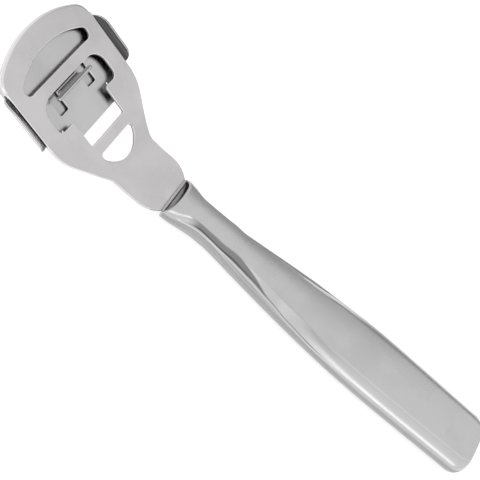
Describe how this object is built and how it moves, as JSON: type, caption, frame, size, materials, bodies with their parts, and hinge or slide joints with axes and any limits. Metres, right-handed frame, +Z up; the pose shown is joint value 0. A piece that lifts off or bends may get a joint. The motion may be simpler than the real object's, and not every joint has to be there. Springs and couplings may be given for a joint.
{
  "type": "callus shaver",
  "caption": "Steel callus shaver: windowed head plate on a hollow flat handle, with a sliding blade carrier that has finger wings and a thumb catch under the head",
  "frame": {"origin": "on the flat underside of the handle, on its centre line, 31 mm behind its mouth, near the middle of the whole tool", "axes": "+X along the handle away from the head, +Z up with the handle lying flat, +Y across"},
  "size_m": [0.1913, 0.0482, 0.0224],
  "materials": {
    "satin_steel": "fine brushed stainless steel, softly reflective",
    "bright_steel": "polished stainless sheet",
    "blade_steel": "bright ground blade steel",
    "joint_metal": "dull filler steel, hidden inside the mouth"
  },
  "bodies": {
    "handle": {"head_plate": "satin_steel", "tongue_keeper": "bright_steel", "handle_upper_shell": "satin_steel", "handle_lower_shell": "satin_steel", "tang_block": "joint_metal"},
    "carrier": {"blade_carrier": "bright_steel", "sole_plate": "bright_steel", "toe_rivet_far": "bright_steel", "toe_rivet_near": "bright_steel"},
    "blade": {"blade": "blade_steel"}
  },
  "joints": [
    {"name": "slide_release", "type": "slide", "parent": "handle", "child": "carrier", "axis": [0.9336, 0, -0.3584], "range_m": [0, 0.0033]},
    {"name": "blade_change", "type": "slide", "parent": "carrier", "child": "blade", "axis": [0, 1, 0], "range_m": [0, 0.042]}
  ]
}
